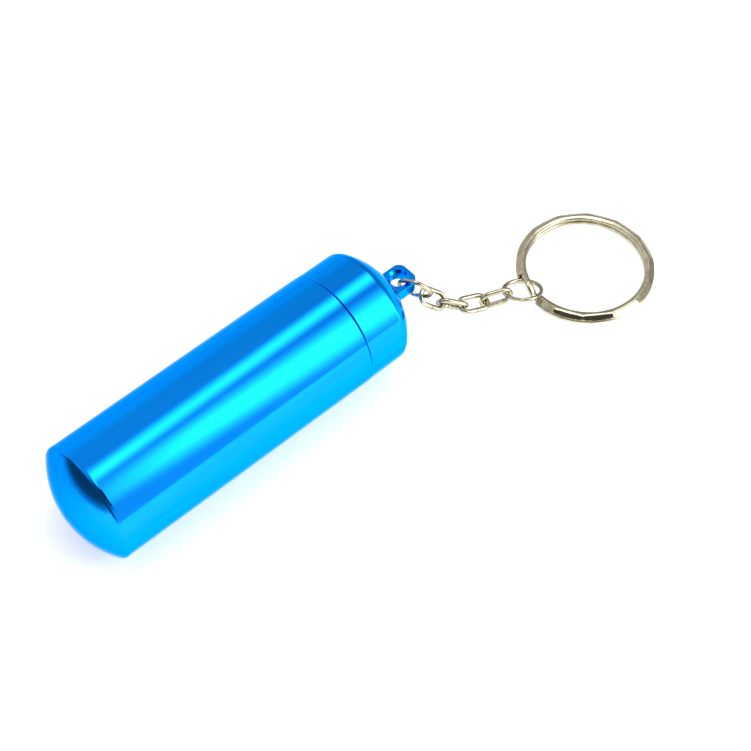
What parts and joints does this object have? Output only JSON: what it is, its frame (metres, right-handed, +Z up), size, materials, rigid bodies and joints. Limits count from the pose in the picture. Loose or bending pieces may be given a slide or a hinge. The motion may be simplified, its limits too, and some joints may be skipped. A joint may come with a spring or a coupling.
{
  "type": "pill fob keychain",
  "caption": "Slim screw-top tube for pills, with a lug, a short chain and a flat split ring for keys.",
  "frame": {"origin": "on the table under the middle of the part's box", "axes": "+X along the canister's axis towards the lid and the rings, +Z up from the table it lies on"},
  "size_m": [0.1166, 0.0374, 0.0214],
  "materials": {
    "anodised_blue": "glossy anodised",
    "black_rubber": "matt",
    "nickel_wire": "plated steel wire",
    "nickel_ring": "plated steel, cut flats"
  },
  "bodies": {
    "lid": {"lid": "anodised_blue"},
    "seal": {"seal_ring": "black_rubber"},
    "canister": {"canister": "anodised_blue"},
    "jump_ring": {"jump_ring": "nickel_wire"},
    "link_1": {"link_1": "nickel_wire"},
    "link_2": {"link_2": "nickel_wire"},
    "link_3": {"link_3": "nickel_wire"},
    "link_4": {"link_4": "nickel_wire"},
    "end_ring": {"end_ring": "nickel_wire"},
    "split_ring": {"split_ring": "nickel_ring"}
  },
  "joints": [
    {"name": "canister_travel", "type": "slide", "parent": "lid", "child": "seal", "axis": [-1, 0, 0], "range_m": [0, 0.0075]},
    {"name": "canister_turn", "type": "hinge", "parent": "seal", "child": "canister", "pos_m": [-0.05402, 0.00803, 0.0107], "axis": [-1, 0, 0], "range_deg": [0, 1800]},
    {"name": "jump_ring_swing", "type": "hinge", "parent": "lid", "child": "jump_ring", "pos_m": [0.01294, 0.00707, 0.0119], "axis": [0.1404, -0.7046, 0.6956], "range_deg": [-50, 29]},
    {"name": "link_1_swing", "type": "hinge", "parent": "jump_ring", "child": "link_1", "pos_m": [0.01443, 0.00551, 0.01001], "axis": [-0.8432, -0.4534, -0.289], "range_deg": [-75, 75]},
    {"name": "link_2_swing", "type": "hinge", "parent": "link_1", "child": "link_2", "pos_m": [0.01797, 0.00325, 0.0058], "axis": [-0.2235, 0.7298, -0.6462], "range_deg": [-75, 75]},
    {"name": "link_3_swing", "type": "hinge", "parent": "link_2", "child": "link_3", "pos_m": [0.02128, 0.00148, 0.00334], "axis": [-0.6271, -0.6757, -0.3875], "range_deg": [-75, 75]},
    {"name": "link_4_swing", "type": "hinge", "parent": "link_3", "child": "link_4", "pos_m": [0.02529, 0.00003, 0.00216], "axis": [0.1343, -0.2081, 0.9688], "range_deg": [-75, 75]},
    {"name": "end_ring_swing", "type": "hinge", "parent": "link_4", "child": "end_ring", "pos_m": [0.02944, -0.00164, 0.00204], "axis": [-0.3908, -0.9163, 0.0871], "range_deg": [-75, 75]},
    {"name": "split_ring_swing", "type": "hinge", "parent": "end_ring", "child": "split_ring", "pos_m": [0.03315, -0.00283, 0.00165], "axis": [-0.22, -0.2927, -0.9305], "range_deg": [-90, 90]}
  ],
  "couplings": [
    {"joint": "canister_turn", "follows": "canister_travel", "rad_per_m": 4188.8}
  ]
}
